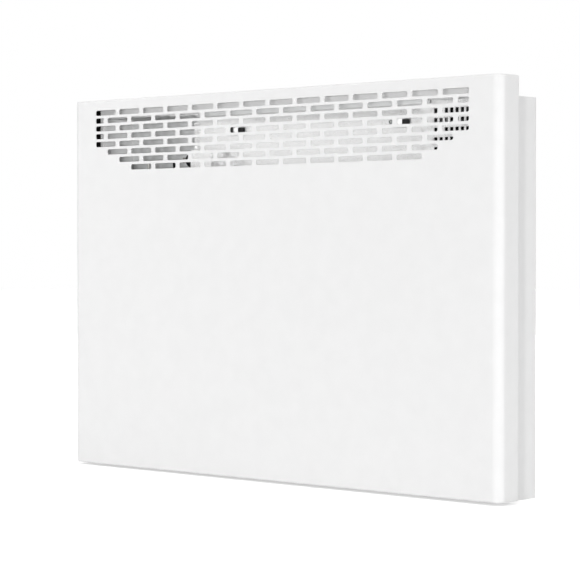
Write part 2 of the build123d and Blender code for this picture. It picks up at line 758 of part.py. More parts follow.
tilt = math.radians(rocker_tilt)
rocker_plane = Plane(origin=(switch_x, control_y, pivot_z),
                     x_dir=(math.cos(tilt), 0, math.sin(tilt)), z_dir=(0, -1, 0))
with BuildPart() as switch_rocker:
    with BuildSketch(rocker_plane):
        with BuildLine():
            Polyline(
                (-rocker_length / 2, rocker_crown),
                (0, rocker_dip),
                (rocker_length / 2, rocker_crown),
                (rocker_length / 2 - rocker_taper, -rocker_heel),
                (0, -rocker_root),
                (-rocker_length / 2 + rocker_taper, -rocker_heel),
                close=True,
            )
        make_face()
    extrude(amount=rocker_width / 2, both=True)
    with BuildSketch(rocker_plane):
        Circle(pin_radius)
    extrude(amount=rocker_width / 2 + pin_length, both=True)
switch_rocker.part.label = "switch_rocker"

# ---------------------------------------------------------------- pilot lamp
with BuildPart() as pilot_lamp:
    with BuildSketch(Plane.XY.offset(casing_height)):
        with Locations((lamp_x, control_y)):
            Rectangle(lamp_body_width, lamp_body_width)
    extrude(amount=-lamp_body_height)
    with BuildSketch(Plane.XY.offset(casing_height)):
        with Locations((lamp_x, control_y)):
            Circle(lamp_collar_radius)
    extrude(amount=lamp_collar_height)
    with BuildSketch(Plane.XY.offset(casing_height + lamp_collar_height)):
        with Locations((lamp_x, control_y)):
            Circle(lamp_radius)
    extrude(amount=lamp_height)
pilot_lamp.part.label = "pilot_lamp"

# ---------------------------------------------------------------- terminal block
block_x = switch_x
block_bottom = housing_bottom + inner_sheet
with BuildPart() as terminal_block:
    with BuildSketch(Plane.XY.offset(block_bottom)):
        with Locations((block_x, control_y)):
            Rectangle(block_length, block_width)
    extrude(amount=block_height)
    with BuildSketch(Plane.XY.offset(block_bottom + block_height)):
        with Locations((block_x, control_y + block_width / 4)):
            with GridLocations(block_pole_pitch, 0, block_poles, 1):
                Rectangle(block_well_width, block_well_width)
    extrude(amount=-block_well, mode=Mode.SUBTRACT)
terminal_block.part.label = "terminal_block"

# ---------------------------------------------------------------- tabs under the controls
switch_bottom = casing_height - switch_body_height
with BuildPart() as control_tabs:
    with BuildSketch(Plane.XY.offset(switch_bottom)):
        with Locations((switch_x, control_y)):
            with GridLocations(switch_tab_pitch_x, switch_tab_pitch_y, 2, 2):
                Rectangle(tab_width, tab_thickness)
    extrude(amount=-tab_length)
    with BuildSketch(Plane.XY.offset(thermostat_bottom)):
        with Locations((knob_x, control_y)):
            Rectangle(tab_width, tab_thickness)
    extrude(amount=-tab_length)
control_tabs.part.label = "control_tabs"

# ---------------------------------------------------------------- internal wiring
# Insulated leads: straight runs joined by tangent bends.
element_tab_x = terminal_end_x + tab_length
left_drop_x = element_tab_x + 2 * wire_bend
feed_tab_y, return_tab_y = cutout_tab_ys
switch_tab_z = switch_bottom - tab_length
thermostat_tab_z = thermostat_bottom - tab_length


def lead(points, bend):
    """Wire of the common gauge along points, each corner rounded by bend."""
    with BuildPart() as wire:
        with BuildLine() as route:
            if len(points) > 2:
                FilletPolyline(*points, radius=bend)
            else:
                Line(*points)
        start = Plane(origin=points[0], z_dir=route.line % 0)
        with BuildSketch(start):
            RegularPolygon(wire_radius, wire_sides)
        sweep(path=route.line)
    return wire.part


wire_element_cutout = lead(
    [
        (-element_tab_x, element_y, element_height),
        (-left_drop_x, element_y, element_height),
        (-left_drop_x, feed_tab_y, cutout_z),
        (cutout_tab_x, feed_tab_y, cutout_z),
    ],
    wire_bend,
)
wire_element_cutout.label = "wire_element_cutout"

wire_cutout_switch = lead(
    [
        (cutout_tab_x, return_tab_y, cutout_z),
        (cutout_tab_x - 2 * wire_bend, return_tab_y, cutout_z),
        (cutout_tab_x - 2 * wire_bend, cutout_wire_y, cutout_wire_z),
        (switch_x + switch_tab_pitch_x / 2, cutout_wire_y, cutout_wire_z),
        (switch_x + switch_tab_pitch_x / 2, cutout_wire_y, switch_tab_z),
    ],
    wire_bend / 2,
)
wire_cutout_switch.label = "wire_cutout_switch"

wire_element_thermostat = lead(
    [
        (element_tab_x, element_y, element_height),
        (knob_x - wire_bend, element_y, element_height),
        (knob_x, control_y, element_height + 3 * wire_bend),
        (knob_x, control_y, thermostat_tab_z),
    ],
    wire_bend,
)
wire_element_thermostat.label = "wire_element_thermostat"

with BuildPart() as wire_supply:
    for side in (-1, 1):
        wire_x = switch_x + side * switch_tab_pitch_x / 2
        wire_y = control_y - switch_tab_pitch_y / 2
        add(lead([(wire_x, wire_y, block_bottom + block_height), (wire_x, wire_y, switch_tab_z)], 0))
wire_supply.part.label = "wire_supply"

# ---------------------------------------------------------------- mains inlet
# Moulded bush in the back panel, a clamp bar above it, and the earth stud with its nut.
with BuildPart() as inlet_bush:
    with BuildSketch(facing(panel_back_y)):
        with Locations((inlet_bush_x, inlet_bush_height)):
            Rectangle(inlet_body, inlet_body)
    extrude(amount=panel_sheet + inlet_body_length)
    with BuildSketch(facing(panel_back_y)):
        with Locations((inlet_bush_x, inlet_bush_height)):
            Rectangle(inlet_collar_width, inlet_collar_width)
    extrude(amount=-inlet_collar)
    with BuildSketch(facing(panel_back_y + inlet_collar)):
        with Locations((inlet_bush_x, inlet_bush_height)):
            Circle(inlet_bore_radius)
    extrude(amount=inlet_collar + panel_sheet + inlet_body_length, mode=Mode.SUBTRACT)
inlet_bush.part.label = "inlet_bush"

clamp_z = inlet_bush_height + clamp_rise
clamp_gap = 2 * inlet_bore_radius
with BuildPart() as cord_clamp:
    with BuildSketch(facing(panel_front_y)):
        with Locations((inlet_bush_x, clamp_z)):
            Rectangle(clamp_length, clamp_width)
    extrude(amount=clamp_gap + clamp_bar)
    with BuildSketch(facing(panel_front_y)):
        with Locations((inlet_bush_x, clamp_z)):
            Rectangle(clamp_length - 2 * clamp_post, clamp_width)
    extrude(amount=clamp_gap, mode=Mode.SUBTRACT)
cord_clamp.part.label = "cord_clamp"

with BuildPart() as earth_stud:
    with BuildSketch(facing(panel_front_y)):
        with Locations((earth_x, clamp_z)):
            Circle(earth_radius)
    extrude(amount=earth_length)
earth_stud.part.label = "earth_stud"

with BuildPart() as earth_nut:
    with BuildSketch(facing(panel_front_y)):
        with Locations((earth_x, clamp_z)):
            RegularPolygon(earth_nut_flats / 2, 6, major_radius=False)
            Circle(earth_radius + running_gap, mode=Mode.SUBTRACT)
    extrude(amount=earth_nut_thickness)
earth_nut.part.label = "earth_nut"

# ---------------------------------------------------------------- one STEP file per piece
pieces = [
    front_cover, rear_casing, back_panel, rear_reflector,
    hanger_clips.part, control_housing.part, vent_plate.part, front_baffle.part, *element_brackets,
    element_fins.part, element_sheath.part, element_bushes.part, element_terminals.part,
    cutout_bracket, thermal_cutout.part, cutout_tabs.part, thermostat_body.part,
    thermostat_nut.part, thermostat_spindle.part, thermostat_knob.part, switch_frame.part,
    switch_rocker.part, pilot_lamp.part, terminal_block.part, control_tabs.part,
    wire_element_cutout, wire_cutout_switch, wire_element_thermostat, wire_supply.part,
    inlet_bush.part, cord_clamp.part, earth_stud.part, earth_nut.part,
]
os.makedirs("parts", exist_ok=True)
for piece in pieces:
    export_step(piece, f"parts/{piece.label}.step")
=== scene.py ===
import bmesh
import bpy
import math
import numpy as np
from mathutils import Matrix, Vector
from mathutils.geometry import delaunay_2d_cdt


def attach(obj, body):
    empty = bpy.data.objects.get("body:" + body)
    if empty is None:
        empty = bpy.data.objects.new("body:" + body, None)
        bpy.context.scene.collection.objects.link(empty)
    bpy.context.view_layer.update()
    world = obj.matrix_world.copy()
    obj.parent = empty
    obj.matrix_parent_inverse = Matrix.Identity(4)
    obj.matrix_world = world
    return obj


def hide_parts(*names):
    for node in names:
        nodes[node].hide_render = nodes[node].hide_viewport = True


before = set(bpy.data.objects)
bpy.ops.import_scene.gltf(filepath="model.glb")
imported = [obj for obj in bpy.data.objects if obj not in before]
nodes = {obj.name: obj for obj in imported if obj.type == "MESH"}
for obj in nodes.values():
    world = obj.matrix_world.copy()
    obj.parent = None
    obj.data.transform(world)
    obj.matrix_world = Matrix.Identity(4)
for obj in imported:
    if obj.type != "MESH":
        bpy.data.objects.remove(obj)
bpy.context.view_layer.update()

# ---------------------------------------------------------------- rear casing
# Wrapper folded from 1 mm steel and baked white: sides, top and bottom, flanges in front that the
# cover is screwed to, and a narrow rim turned in round the back. Inlet slots run along its bottom.
MM = 0.001


def linear(code):
    """sRGB hex code to linear: c / 12.92 up to 0.04045, above it ((c + 0.055) / 1.055) ^ 2.4."""
    parts = [int(code[i:i + 2], 16) / 255 for i in (1, 3, 5)]
    return [c / 12.92 if c <= 0.04045 else ((c + 0.055) / 1.055) ** 2.4 for c in parts] + [1.0]


def add_node(tree, kind, feeds=(), **values):
    """New shader node with its settings or socket values.

    feeds links the outputs of other nodes into its sockets, each given by name or number.
    """
    made = tree.nodes.new(kind)
    for key, value in values.items():
        if key in made.bl_rna.properties:
            setattr(made, key, value)
        else:
            made.inputs[key.replace("_", " ")].default_value = value
    for socket, source in dict(feeds).items():
        tree.links.new(source, made.inputs[socket])
    return made


def finish(name, code, grain_mm, bump_mm, gloss, spread=(0.98, 1.02), metallic=0.0,
           stretch=(1, 1, 1)):
    """Finish with a fine grain in its relief and gloss, and a slow shift of tone over the surface.

    Colour = hex colour x a noise 12 grains wide, within spread; roughness = a noise one grain
    wide, within gloss; height = the same grain. stretch draws them out the way it was worked.
    """
    material = bpy.data.materials.new(name)
    material.use_nodes = True
    tree = material.node_tree
    shader = tree.nodes["Principled BSDF"]
    place = add_node(tree, "ShaderNodeTexCoord").outputs["Object"]
    along = add_node(tree, "ShaderNodeMapping", {"Vector": place}, Scale=stretch).outputs["Vector"]
    grain = add_node(tree, "ShaderNodeTexNoise", {"Vector": along},
                     Scale=1000 / grain_mm, Detail=3.0)
    cloud = add_node(tree, "ShaderNodeTexNoise", {"Vector": along},
                     Scale=1000 / (12 * grain_mm), Detail=2.0)
    most_of_noise = {"From_Min": 0.3, "From_Max": 0.7}
    tone = add_node(tree, "ShaderNodeMapRange", {"Value": cloud.outputs["Fac"]},
                    To_Min=spread[0], To_Max=spread[1], **most_of_noise)
    tint = add_node(tree, "ShaderNodeVectorMath", {1: tone.outputs["Result"]},
                    operation="MULTIPLY")
    tint.inputs[0].default_value = linear(code)[:3]
    sheen = add_node(tree, "ShaderNodeMapRange", {"Value": grain.outputs["Fac"]},
                     To_Min=gloss[0], To_Max=gloss[1], **most_of_noise)
    relief = add_node(tree, "ShaderNodeBump", {"Height": grain.outputs["Fac"]},
                      Distance=bump_mm * MM)
    shader.inputs["Metallic"].default_value = metallic
    tree.links.new(tint.outputs["Vector"], shader.inputs["Base Color"])
    tree.links.new(sheen.outputs["Result"], shader.inputs["Roughness"])
    tree.links.new(relief.outputs["Normal"], shader.inputs["Normal"])
    return material


def dress(material, *names):
    """The CAD pieces of these names wear this material and nothing else."""
    for name in names:
        nodes[name].data.materials.clear()
        nodes[name].data.materials.append(material)


# Baked powder enamel: satin, so lamps show as soft streaks on the bends. Its orange peel is about
# 1.6 mm across and only breaks those streaks a little.
enamel = finish("baked white enamel", "#ECECEC", 1.6, 0.006, (0.40, 0.48), (0.99, 1.01))
dress(enamel, "rear_casing")

# ---------------------------------------------------------------- back panel and duct sheets
# Back panel, duct sides and front baffle: zinc-coated steel sheet, cut and folded without paint.
# The panel lies between the casing's walls, in front of its rim, and carries everything else.
CRYSTAL_MM = 9.0
# Passivated zinc: pale and dull, it scatters more than it mirrors, so it is metal only in part.
# The crystals are patches about 9 mm wide, each with its own grey, over a grain of 0.8 mm.
galvanised = finish("passivated zinc coat", "#F2F3F3", 0.8, 0.004, (0.56, 0.64), metallic=0.15)
zinc_tree = galvanised.node_tree
crystal = add_node(zinc_tree, "ShaderNodeTexVoronoi",
                   {"Vector": zinc_tree.nodes["Mapping"].outputs["Vector"]},
                   Scale=1000 / CRYSTAL_MM)
crystal_grey = add_node(zinc_tree, "ShaderNodeSeparateColor", {"Color": crystal.outputs["Color"]})
crystal_tone = add_node(zinc_tree, "ShaderNodeMapRange", {"Value": crystal_grey.outputs["Red"]},
                        To_Min=0.95, To_Max=1.02)
zinc_tree.links.new(crystal_tone.outputs["Result"], zinc_tree.nodes["Vector Math"].inputs[1])
dress(galvanised, "back_panel", "front_baffle", "element_bracket_left", "element_bracket_right")

# ---------------------------------------------------------------- reflector
# Bright sheet flat on the back panel behind the grille, and its hood: the same sheet bent forward
# under the casing's top, so warm air turns out to the front and the top stays cool.
REFLECTOR_HALF = 188.0
HOOD_LOW, HOOD_HIGH, HOOD_BACK, HOOD_FRONT = 404.2, 409.8, 34.0, -11.0
HOOD_SHEET, HOOD_BEND = 0.6, 1.0
STRIP_LEFT, STRIP_RIGHT, STRIP_LOW, STRIP_HIGH, STRIP_FRONT = -138.0, 204.0, 407.0, 411.7, -11.65
MERGE_M, SHARP_ANGLE = 1e-6, math.radians(32)


def new_piece(name, points, *groups):
    """Object from points in mm and groups of faces, each face a row of point numbers.

    Points closer than MERGE_M are made one, faces are turned outward, and an edge is sharp where
    its faces differ by more than SHARP_ANGLE.
    """
    mesh = bpy.data.meshes.new(name)
    faces = [face for group in groups for face in np.asarray(group).tolist()]
    mesh.from_pydata((np.reshape(points, (-1, 3)) * MM).tolist(), [], faces)
    work = bmesh.new()
    work.from_mesh(mesh)
    bmesh.ops.remove_doubles(work, verts=work.verts, dist=MERGE_M)
    bmesh.ops.dissolve_degenerate(work, edges=work.edges, dist=MERGE_M)
    bmesh.ops.recalc_face_normals(work, faces=work.faces)
    work.to_mesh(mesh)
    work.free()
    mesh.shade_smooth()
    mesh.set_sharp_from_angle(angle=SHARP_ANGLE)
    piece = bpy.data.objects.new(name, mesh)
    bpy.context.scene.collection.objects.link(piece)
    return piece


def ring_faces(count, rows, around, start=0):
    """Quads of count grids, each of rows rings of around points, numbered in order from start.

    Point t of a ring is joined to point t + 1 of it and to the same two of the next ring.
    """
    part, row, turn = np.meshgrid(
        np.arange(count), np.arange(rows - 1), np.arange(around), indexing="ij")
    here = start + (part * rows + row) * around
    after = (turn + 1) % around
    return np.stack([here + turn, here + after,
                     here + around + after, here + around + turn], -1).reshape(-1, 4)


def bend(y, z, radius, first, last):
    """Six points of an arc: y + radius cos a, z + radius sin a, a from first to last degrees."""
    a = np.radians(np.linspace(first, last, 6))
    return np.stack([y + radius * np.cos(a), z + radius * np.sin(a)], 1)


def drawn_along(name, section, first, last, axis=0):
    """Sheet of one section carried from first to last along an axis, with both ends closed.

    The section runs along one face of the sheet and back along the other, so each end is a row of
    quads between points i and i + 1 and the two that lie opposite, counted from the section's end.
    """
    count = len(section)
    points = [np.insert(np.array(section, float), axis, at, axis=1) for at in (first, last)]
    i = np.arange(count // 2 - 1)
    end = np.stack([i, i + 1, count - 2 - i, count - 1 - i], 1)
    return new_piece(name, points, ring_faces(1, 2, count), end, end + count)


# the hood's section: up the back, round the bend, forward to its edge, and back along the inside
bend_at = (HOOD_BACK - HOOD_BEND, HOOD_HIGH - HOOD_BEND)
hood = drawn_along("reflector_hood", np.concatenate([
    [(HOOD_BACK, HOOD_LOW)], bend(*bend_at, HOOD_BEND, 0, 90),
    [(HOOD_FRONT, HOOD_HIGH), (HOOD_FRONT, HOOD_HIGH - HOOD_SHEET)],
    bend(*bend_at, HOOD_BEND - HOOD_SHEET, 90, 0), [(HOOD_BACK - HOOD_SHEET, HOOD_LOW)]]),
    -REFLECTOR_HALF, REFLECTOR_HALF)
# Aluminium-coated steel: rolled bright, it throws the room's light back and reads nearly white.
# Its rolling grain is drawn at 0.8 mm, far coarser than the real one, and almost without relief.
bright = finish("aluminium-coated steel", "#F1F1F1", 0.8, 0.0004, (0.25, 0.30), (0.985, 1.0), 1.0)
hood.data.materials.append(bright)
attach(hood, "chassis")
dress(bright, "rear_reflector")
# stiffening strip along the hood's edge, cut from the zinc-coated sheet
strip_back = STRIP_FRONT + HOOD_SHEET
strip = drawn_along("hood_strip", [
    (strip_back, STRIP_LOW), (strip_back, STRIP_HIGH),
    (STRIP_FRONT, STRIP_HIGH), (STRIP_FRONT, STRIP_LOW)], STRIP_LEFT, STRIP_RIGHT)
strip.data.materials.append(galvanised)
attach(strip, "chassis")

# ---------------------------------------------------------------- hanger clips
# Black mouldings snapped round the two hook slots, each beside a hollow rivet that holds the
# reflector to the back panel.
HOOK_HALF, RIVET_OFFSET, RIVET_Z, RIVET_Y = 124.0, -12.5, 393.0, 33.4
RIVET_R, RIVET_HOLE, RIVET_RISE, HOLE_DEPTH, RIVET_FOOT = 2.5, 1.2, 0.9, 0.5, 0.05
# Glass-filled nylon: near black, with the matt grain of a spark-eroded mould. The real grain is
# about 0.1 mm; it is drawn at 0.5 mm so that it shows.
nylon = finish("black glass-filled nylon", "#1A1A1C", 0.5, 0.02, (0.42, 0.56), (0.9, 1.1))
dress(nylon, "hanger_clips")


def turned(seats, profile, axis, way, steps=24):
    """Profile turned about an axis through each seat: points, and the faces between its rings.

    Across the axis a point lies at radius x (cos turn, sin turn), along it at way x height.
    """
    radius, height = np.array(profile, float).T
    turn = np.radians(np.arange(steps) * 360.0 / steps)
    first, second = [i for i in range(3) if i != axis]
    grid = np.zeros((len(seats), len(radius), steps, 3))
    grid[..., first] = radius[:, None] * np.cos(turn)
    grid[..., second] = radius[:, None] * np.sin(turn)
    grid[..., axis] = way * height[:, None]
    return (grid + np.array(seats, float)[:, None, None],
            ring_faces(len(seats), len(radius), steps))


# the rivet's rolled rim is half a turn of an ellipse between its hole and its edge
dome = np.radians(np.linspace(0, 90, 7))
rivet_mid = (RIVET_R + RIVET_HOLE) / 2
rivet_half = (RIVET_R - RIVET_HOLE) / 2
rivet_profile = [
    (RIVET_HOLE, -HOLE_DEPTH), (RIVET_HOLE, 0),
    *zip(rivet_mid - rivet_half * np.cos(2 * dome), RIVET_RISE * np.sin(2 * dome)),
    (RIVET_R, 0), (RIVET_R, -RIVET_FOOT)]
rivets = new_piece("reflector_rivets", *turned(
    [(side * HOOK_HALF + RIVET_OFFSET, RIVET_Y, RIVET_Z) for side in (-1, 1)],
    rivet_profile, axis=1, way=-1))
# Zinc plate on small steel parts: smooth and cool grey, brightest where it turns to a lamp. Its
# grain is drawn at 0.4 mm, coarser than the real one.
zinc_plate = finish("zinc-plated steel", "#B9BCBE", 0.4, 0.003, (0.22, 0.34), (0.94, 1.0), 1.0)
rivets.data.materials.append(zinc_plate)
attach(rivets, "chassis")

# ---------------------------------------------------------------- element
# Aluminium body sawn into fins, pressed on a steel tube that runs in ceramic bushes, with tabs at
# its ends for the leads.
ACROSS_FINS, ALONG_TUBE, ALONG_TAB = (0.04, 1, 1), (0.04, 1, 1), (1, 1, 0.2)
# Sawn extrusion: matt, with the blade's marks, half a millimetre apart, across the fins.
sawn = finish("extruded aluminium, sawn", "#B4B6B8", 0.5, 0.01, (0.3, 0.45), (0.94, 1.0), 1.0,
              ACROSS_FINS)
dress(sawn, "element_fins")
# Bright drawn steel: lines along its length that stretch the light, drawn 0.3 mm wide, about six
# times the real ones.
tube_steel = finish("bright drawn steel", "#A9A9A8", 0.3, 0.003, (0.24, 0.34), (0.96, 1.0), 1.0,
                    ALONG_TUBE)
dress(tube_steel, "element_sheath")
# Glazed steatite: warm white and wet-looking, with slow waves in the glaze 3 mm wide.
glazed = finish("glazed ceramic", "#E8E4D8", 3.0, 0.01, (0.12, 0.22), (0.96, 1.02))
dress(glazed, "element_bushes")
# Tinned brass: grey with a slight warmth, stamped smooth. Its rolling lines are drawn 0.4 mm wide,
# coarser than the real ones.
tinned = finish("tinned brass", "#A6A49E", 0.4, 0.003, (0.3, 0.42), (0.95, 1.0), 1.0, ALONG_TAB)
dress(tinned, "element_terminals")

# ---------------------------------------------------------------- over-temperature cut-out
# Black disc thermostat in a folded steel bracket that hangs in the warm air at the duct's left
# end, with tabs for its two leads.
dress(bright, "cutout_bracket")
dress(nylon, "thermal_cutout")
dress(tinned, "cutout_tabs")

# ---------------------------------------------------------------- control housing
# Folded sheet box at the right end with a vent plate in front. Its black inner sheet is painted
# shade: it makes the vents look dark, standing in for the shadow inside the box.
SHADE_BOX_LEFT, SHADE_BOX_RIGHT, SHADE_BOX_LOW, SHADE_BOX_HIGH = 191.6, 299.2, 251.0, 385.0
SHADE_BOX_FRONT, SHADE_BOX_BACK, SHADE_BOX_SHEET = -8.5, 33.6, 0.8
dress(bright, "control_housing", "vent_plate")
# seen from above the shade sheet is a U: back along the left wall, across, and forward on the right
shade_box_outer = np.array([(SHADE_BOX_LEFT, SHADE_BOX_FRONT), (SHADE_BOX_LEFT, SHADE_BOX_BACK),
                         (SHADE_BOX_RIGHT, SHADE_BOX_BACK), (SHADE_BOX_RIGHT, SHADE_BOX_FRONT)])
shade_box_inner = shade_box_outer[::-1] + SHADE_BOX_SHEET * np.array([(-1, 0), (-1, -1), (1, -1), (1, 0)])
shade_box = drawn_along("housing_painted_shade", np.concatenate([shade_box_outer, shade_box_inner]),
                     SHADE_BOX_LOW, SHADE_BOX_HIGH, axis=2)
# Painted shade: black with a faint grain 0.4 mm apart and hardly any shine.
painted_shade_board = finish("black painted housing shade", "#141414", 0.4, 0.02, (0.75, 0.9), (0.8, 1.2))
shade_box.data.materials.append(painted_shade_board)
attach(shade_box, "chassis")

# ---------------------------------------------------------------- thermostat and dial
# Thermostat hung under the casing's top by the nut on its neck. Its knob is moulded ABS: a skirt
# with printed numbers and a grip with eight scallops, turning past an index printed on the casing.
KNOB_X, KNOB_Y = 270.0, 17.0
GRIP, FLUTES, FLUTE_HALF, FLUTE_DEPTH = 13.0, 8, 2.2, 1.4
# radius and height of the knob's profile, and the share of the scallops' depth that each takes
KNOB_PROFILE = [
    (0, 425.5, 0), (6, 425.5, 0), (10.6, 425.8, 0), (11.7, 426.0, 0.8), (12.4, 425.8, 1),
    (12.8, 425.3, 1), (12.9, 424.5, 1), (13.0, 417.4, 1), (13.2, 416.6, 0.9), (13.8, 416.2, 0.3),
    (14.4, 416.05, 0), (16.2, 415.9, 0), (16.75, 415.6, 0), (17.0, 415.0, 0), (17.0, 412.5, 0),
    (16.8, 412.1, 0), (16.4, 412.0, 0), (9.5, 412.0, 0), (9.5, 418.0, 0), (3.05, 418.0, 0),
    (3.05, 424.0, 0), (0, 424.0, 0)]
dress(nylon, "thermostat_body")
# Silicone rubber, on the leads and the boots over the tabs: black and matt, with the faint 0.6 mm
# unevenness of extruded rubber.
silicone = finish("black silicone rubber", "#141416", 0.6, 0.01, (0.5, 0.62), (0.9, 1.1))
dress(silicone, "control_tabs")
dress(tube_steel, "thermostat_nut", "thermostat_spindle")
knob_turn = np.radians(np.arange(0, 360, 1.5))
knob_r, knob_z, fluted = np.array(KNOB_PROFILE).T
# scallops: over each one the radius sinks by depth x (1 - (arc / half width)^2)^1.5
spoke = 2 * np.pi / FLUTES
arc_mm = (np.mod(knob_turn + spoke / 2, spoke) - spoke / 2) * GRIP
scallop = np.clip(1 - (arc_mm / FLUTE_HALF) ** 2, 0, None) ** 1.5 * FLUTE_DEPTH
knob_radius = knob_r[:, None] - fluted[:, None] * scallop
knob = new_piece("dial_knob", np.stack([
    KNOB_X + knob_radius * np.cos(knob_turn), KNOB_Y + knob_radius * np.sin(knob_turn),
    np.broadcast_to(knob_z[:, None], knob_radius.shape)], -1),
    ring_faces(1, len(knob_r), len(knob_turn)))
# ABS: a shade greyer than the enamel, softly shining over a mould grain. The real grain is about
# 0.1 mm; it is drawn at 0.6 mm so that it shows.
abs_white = finish("white ABS, fine texture", "#E6E6E4", 0.6, 0.012, (0.36, 0.46), (0.98, 1.01))
knob.data.materials.append(abs_white)
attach(knob, "dial")
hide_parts("thermostat_knob")

# numbers 0 to 6 on the skirt: each is a flat text laid down at its own angle, feet outward
NUMBERS, NUMBER_SIZE, NUMBER_R, NUMBER_Z, STEP = 7, 2.5, 15.1, 416.0, math.radians(45.0)
INK = 0.06
number_points, number_faces, points_so_far = [], [], 0
for value in range(NUMBERS):
    text = bpy.data.curves.new("number", "FONT")
    text.body = str(value)
    text.size = NUMBER_SIZE * MM
    text.align_x, text.align_y = "CENTER", "CENTER"
    text.extrude = INK / 2 * MM
    holder = bpy.data.objects.new("number", text)
    flat = bpy.data.meshes.new_from_object(holder)
    places = np.empty(len(flat.vertices) * 3)
    flat.vertices.foreach_get("co", places)
    x, y, z = places.reshape(-1, 3).T / MM
    # out is how far from the dial's axis, x how far along the skirt
    out, at = NUMBER_R - y, value * STEP - math.pi / 2
    number_points.append(np.column_stack([
        KNOB_X + out * math.cos(at) - x * math.sin(at),
        KNOB_Y + out * math.sin(at) + x * math.cos(at), NUMBER_Z + z]))
    corners = np.empty(len(flat.loops), int)
    flat.loops.foreach_get("vertex_index", corners)
    starts = np.empty(len(flat.polygons), int)
    flat.polygons.foreach_get("loop_start", starts)
    number_faces += np.split(corners + points_so_far, starts[1:])
    points_so_far += len(x)
    bpy.data.objects.remove(holder)
    bpy.data.curves.remove(text)
    bpy.data.meshes.remove(flat)
numbers = new_piece("dial_numbers", np.concatenate(number_points),
                    *[[face] for face in number_faces])
# Pad-printing ink: flat dark grey, a few hundredths of a millimetre thick, mottled at 0.3 mm.
ink = finish("grey pad-printing ink", "#4A4B4D", 0.3, 0.002, (0.5, 0.6), (0.95, 1.05))
numbers.data.materials.append(ink)
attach(numbers, "dial")

# the index: a small triangle on the casing in front of the dial
CASING_TOP, INDEX_TIP, INDEX_BASE, INDEX_HALF = 411.0, -1.0, -4.2, 1.6
triangle = np.array([(KNOB_X, INDEX_TIP), (KNOB_X - INDEX_HALF, INDEX_BASE),
                     (KNOB_X + INDEX_HALF, INDEX_BASE)])
index = new_piece("dial_index", [np.insert(triangle, 2, z, axis=1)
                                 for z in (CASING_TOP, CASING_TOP + INK)],
                  np.arange(6).reshape(2, 3), ring_faces(1, 2, 3))
index.data.materials.append(ink)
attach(index, "chassis")

# ---------------------------------------------------------------- rocker switch
# Glossy black nylon frame snapped into the casing's top. Its rocker is dished along its length,
# has rounded edges and carries a printed bar and ring.
ROCKER_X, ROCKER_Y, PIVOT_Z, TILT = 231.0, 17.0, 409.0, math.radians(7.0)
ROCKER_HALF, ROCKER_REACH, CROWN, DIP, DISH = 12.0, 11.75, 4.6, 3.15, 1.4
END_DROP, END_SCALE, END_START = 0.7, 12.0, 11.2
# the rocker's belly, its width stations, and how far each station draws in for the rounded edge
BELLY = [(11.95, 3.4), (11.0, -1.5), (6, -2.9), (0, -4.0), (-6, -2.9), (-11.0, -1.5), (-11.95, 3.4)]
STATIONS = np.array([-8, -7.9, -7.55, -7.1, 7.1, 7.55, 7.9, 8])
DRAWN_IN = np.array([0.6, 0.3, 0.08, 0, 0, 0.08, 0.3, 0.6])
# Polished nylon: black with clear mirror images of the room, broken a little by waves 1 mm wide.
gloss_black = finish("glossy black nylon", "#131315", 1.0, 0.002, (0.14, 0.22), (0.92, 1.08))
dress(gloss_black, "switch_frame")


def on_rocker(x, y, z):
    """Points given from the rocker's pin, turned by TILT about it and set in the heater's frame."""
    return np.stack(np.broadcast_arrays(
        ROCKER_X + x * math.cos(TILT) - z * math.sin(TILT), ROCKER_Y + y,
        PIVOT_Z + x * math.sin(TILT) + z * math.cos(TILT)), -1)


def dished(x):
    """Height of the rocker's top at x, with share = |x| / ROCKER_REACH.

    Height = DIP + DISH x share^1.4, less END_DROP x (END_SCALE x share - END_START)^2 near the
    ends, where that bracket is above nought.
    """
    share = np.abs(x) / ROCKER_REACH
    past = np.clip(share * END_SCALE - END_START, 0, None)
    return DIP + DISH * share ** 1.4 - END_DROP * past ** 2


# one section along the rocker's length, shrunk towards its pin at the outer stations
top_x = np.linspace(-1, 1, 33) * ROCKER_REACH
rocker_section = np.concatenate([np.column_stack([top_x, dished(top_x)]), BELLY])
sections = rocker_section * (1 - DRAWN_IN[:, None, None] / np.array([ROCKER_HALF, CROWN]))
section_no = np.arange(sections[..., 0].size).reshape(len(STATIONS), -1)
rocker = new_piece("rocker_cap",
                   on_rocker(sections[..., 0], STATIONS[:, None], sections[..., 1]),
                   ring_faces(1, *section_no.shape), section_no[[0, -1]])
rocker.data.materials.append(gloss_black)
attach(rocker, "rocker")
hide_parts("switch_rocker")

# the marks follow the dished top, a little proud of it and sunk in it below
RING_AT, RING_OUT, RING_IN = 7.2, 1.9, 1.45
BAR_FROM, BAR_TO, BAR_HALF = -9.1, -5.3, 0.25
PROUD, SUNK = 0.05, -0.1
ring_angle = np.radians(np.arange(0, 360, 15))
ring_r = np.array([RING_OUT, RING_OUT, RING_IN, RING_IN, RING_OUT])[:, None]
ring_up = np.array([SUNK, PROUD, PROUD, SUNK, SUNK])[:, None]
ring_x = RING_AT + ring_r * np.cos(ring_angle)
ring_mark = on_rocker(ring_x, ring_r * np.sin(ring_angle), dished(ring_x) + ring_up)
bar_x = np.array([BAR_FROM, BAR_TO, BAR_TO, BAR_FROM])
bar_y = BAR_HALF * np.array([-1, -1, 1, 1])
bar_mark = on_rocker(bar_x, bar_y, dished(bar_x) + np.array([[SUNK], [PROUD]]))
ring_size = ring_x.size
marks = new_piece("rocker_marks",
                  np.concatenate([ring_mark.reshape(-1, 3), bar_mark.reshape(-1, 3)]),
                  ring_faces(1, *ring_x.shape), ring_faces(1, 2, 4, ring_size),
                  ring_size + np.arange(8).reshape(2, 4))
# White ink, printed in one pass: matt and very slightly mottled at 0.3 mm.
print_white = finish("white pad-printing ink", "#E8E8E8", 0.3, 0.002, (0.4, 0.5))
marks.data.materials.append(print_white)
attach(marks, "rocker")

